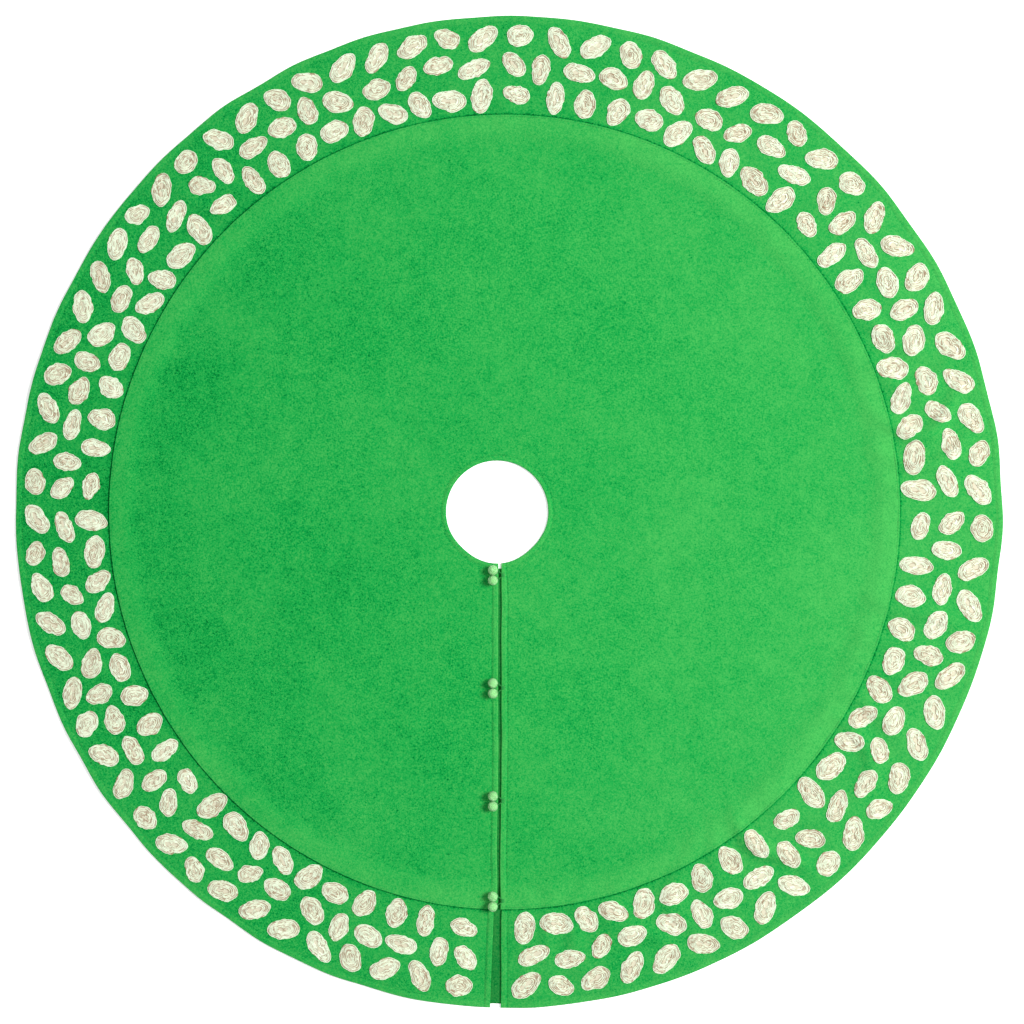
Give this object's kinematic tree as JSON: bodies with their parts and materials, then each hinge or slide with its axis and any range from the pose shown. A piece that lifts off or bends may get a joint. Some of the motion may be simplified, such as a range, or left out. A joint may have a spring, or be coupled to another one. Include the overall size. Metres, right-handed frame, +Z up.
{
  "type": "felt tree skirt",
  "caption": "Flat round felt skirt that lies round a tree's trunk, with a slit held shut by felt balls and cord loops and an embroidered border band.",
  "frame": {"origin": "centre of the skirt's neck opening, on the floor plane", "axes": "+Z up through the neck opening; the slit runs from the neck towards -Y; +X to the right seen from above with the slit towards the viewer"},
  "size_m": [1.524, 1.5238, 0.0232],
  "materials": {
    "panel_felt": "matte wool felt, grass green, faintly mottled",
    "band_felt": "matte wool felt, grass green, a shade darker",
    "lining_felt": "matte thin felt, green",
    "underlap_felt": "matte thin felt, deeper green",
    "thread_green": "matte cotton thread, green",
    "embroidery_cream": "matte cotton embroidery thread, cream to beige",
    "ball_mint": "matte fuzzy wool, mint green",
    "cord_green": "matte twisted cord, green"
  },
  "bodies": {
    "back_half": {"lining_back": "lining_felt", "panel_back": "panel_felt", "band_back": "band_felt", "ovals_back": "embroidery_cream", "neck_stitch_back": "thread_green", "seam_stitch_back": "thread_green", "hem_stitch_back": "thread_green"},
    "front_half": {"lining_front": "lining_felt", "panel_front": "panel_felt", "band_front": "band_felt", "ovals_front": "embroidery_cream", "neck_stitch_front": "thread_green", "seam_stitch_front": "thread_green", "hem_stitch_front": "thread_green", "slit_stitch_left": "thread_green", "underlap": "underlap_felt", "ball_1": "ball_mint", "ball_2": "ball_mint", "ball_3": "ball_mint", "ball_4": "ball_mint", "ball_5": "ball_mint", "ball_6": "ball_mint", "ball_7": "ball_mint", "ball_8": "ball_mint", "ball_shanks": "thread_green"},
    "slit_flap": {"lining_flap": "lining_felt", "panel_flap": "panel_felt", "band_flap": "band_felt", "ovals_flap": "embroidery_cream", "neck_stitch_flap": "thread_green", "seam_stitch_flap": "thread_green", "hem_stitch_flap": "thread_green", "slit_stitch_right": "thread_green", "loop_tacks": "thread_green"},
    "loop_1": {"cord_loop_1": "cord_green"},
    "loop_2": {"cord_loop_2": "cord_green"},
    "loop_3": {"cord_loop_3": "cord_green"},
    "loop_4": {"cord_loop_4": "cord_green"}
  },
  "joints": [
    {"name": "half_fold", "type": "hinge", "parent": "back_half", "child": "front_half", "pos_m": [0, 0, 0.018], "axis": [-1, 0, 0], "range_deg": [0, 160]},
    {"name": "flap_fold", "type": "hinge", "parent": "front_half", "child": "slit_flap", "pos_m": [0.05, -0.4, 0.01], "axis": [0, 1, 0], "range_deg": [0, 150]},
    {"name": "loop_1_lift", "type": "hinge", "parent": "slit_flap", "child": "loop_1", "pos_m": [0.0085, -0.09685, 0.00575], "axis": [0, 1, 0], "range_deg": [0, 110]},
    {"name": "loop_2_lift", "type": "hinge", "parent": "slit_flap", "child": "loop_2", "pos_m": [0.0085, -0.26985, 0.00575], "axis": [0, 1, 0], "range_deg": [0, 110]},
    {"name": "loop_3_lift", "type": "hinge", "parent": "slit_flap", "child": "loop_3", "pos_m": [0.0085, -0.44285, 0.00575], "axis": [0, 1, 0], "range_deg": [0, 110]},
    {"name": "loop_4_lift", "type": "hinge", "parent": "slit_flap", "child": "loop_4", "pos_m": [0.0085, -0.596, 0.00755], "axis": [0, 1, 0], "range_deg": [0, 110]}
  ]
}
